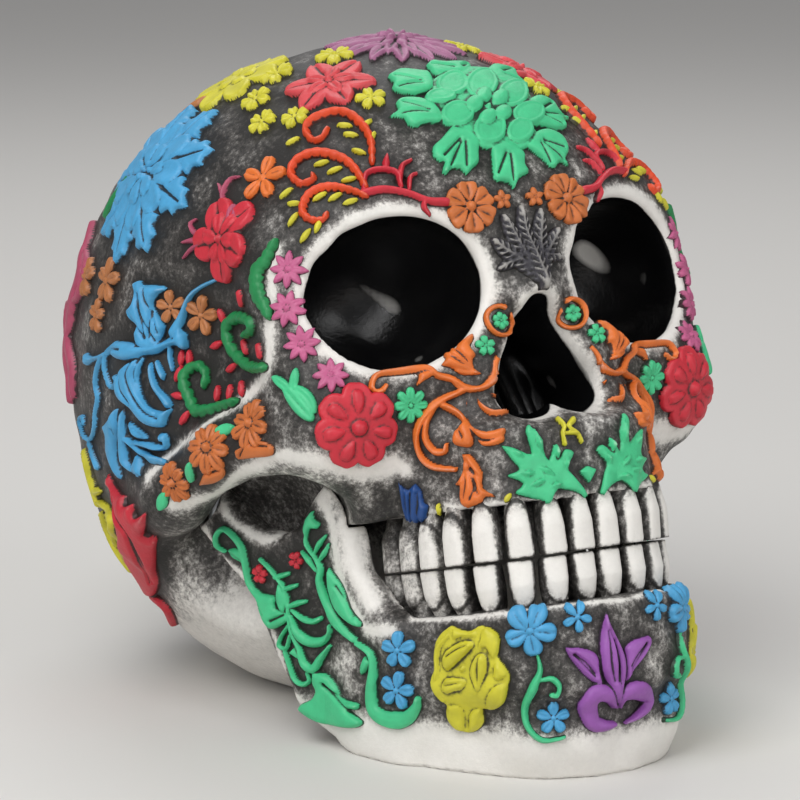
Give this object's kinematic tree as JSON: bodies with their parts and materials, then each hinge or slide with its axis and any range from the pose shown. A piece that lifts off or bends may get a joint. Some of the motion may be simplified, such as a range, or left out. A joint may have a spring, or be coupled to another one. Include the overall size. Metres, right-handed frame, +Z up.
{
  "type": "decorative skull figurine",
  "caption": "Life-size resin skull ornament with a bonded lower jaw, rows of teeth and raised painted flowers, scrolls and birds; stands on a table.",
  "frame": {"origin": "on the table under the middle of the whole figurine", "axes": "+Z up; -Y the way the face looks; +X to the figure's own left"},
  "size_m": [0.1514, 0.2106, 0.1671],
  "materials": {
    "white_resin": "satin, dark wash in the hollows",
    "tooth_white": "satin, dark wash between teeth",
    "paint_sea_green": "satin hand paint over resin",
    "paint_mauve": "satin hand paint over resin",
    "paint_yellow": "satin hand paint over resin",
    "paint_charcoal": "satin hand paint over resin",
    "paint_purple": "satin hand paint over resin",
    "paint_coral": "satin hand paint over resin",
    "paint_flame": "satin hand paint over resin",
    "paint_orange": "satin hand paint over resin",
    "paint_sky": "satin hand paint over resin",
    "paint_crimson": "satin hand paint over resin",
    "paint_leaf_green": "satin hand paint over resin",
    "paint_magenta": "satin hand paint over resin",
    "pin_steel": "plain",
    "plug_rubber": "matt"
  },
  "bodies": {
    "root": {"skull_shell": "white_resin", "lower_jaw": "white_resin", "upper_teeth": "tooth_white", "lower_teeth": "tooth_white", "base_plug": "plug_rubber", "jaw_pin_right": "pin_steel", "jaw_pin_left": "pin_steel", "forehead_flower": "paint_sea_green", "crown_flower": "paint_mauve", "nape_flower": "paint_yellow", "brow_fern": "paint_charcoal", "chin_orchid": "paint_purple", "coral_flower_right": "paint_coral", "coral_flower_left": "paint_coral", "crest_flower_right": "paint_yellow", "crest_flower_left": "paint_yellow", "brow_scroll_right": "paint_flame", "brow_scroll_left": "paint_flame", "brow_daisy_right": "paint_orange", "brow_daisy_left": "paint_orange", "temple_flower_right": "paint_sky", "temple_flower_left": "paint_sky", "side_flower_right": "paint_crimson", "side_flower_left": "paint_crimson", "bird_right": "paint_sky", "bird_left": "paint_sky", "temple_scroll_upper_right": "paint_leaf_green", "temple_scroll_upper_left": "paint_leaf_green", "temple_scroll_lower_right": "paint_leaf_green", "temple_scroll_lower_left": "paint_leaf_green", "cheek_flower_right": "paint_crimson", "cheek_flower_left": "paint_crimson", "nose_scroll_right": "paint_orange", "nose_scroll_left": "paint_orange", "lip_leaf_right": "paint_sea_green", "lip_leaf_left": "paint_sea_green", "arch_daisy_right": "paint_orange", "arch_daisy_left": "paint_orange", "rear_scroll_right": "paint_yellow", "rear_scroll_left": "paint_yellow", "rear_leaf_right": "paint_crimson", "rear_leaf_left": "paint_crimson", "side_scroll_right": "paint_magenta", "side_scroll_left": "paint_magenta", "ramus_vine_right": "paint_sea_green", "ramus_vine_left": "paint_sea_green", "jaw_rose_right": "paint_yellow", "jaw_rose_left": "paint_yellow", "chin_flower_right": "paint_sky", "chin_flower_left": "paint_sky"}
  },
  "joints": []
}
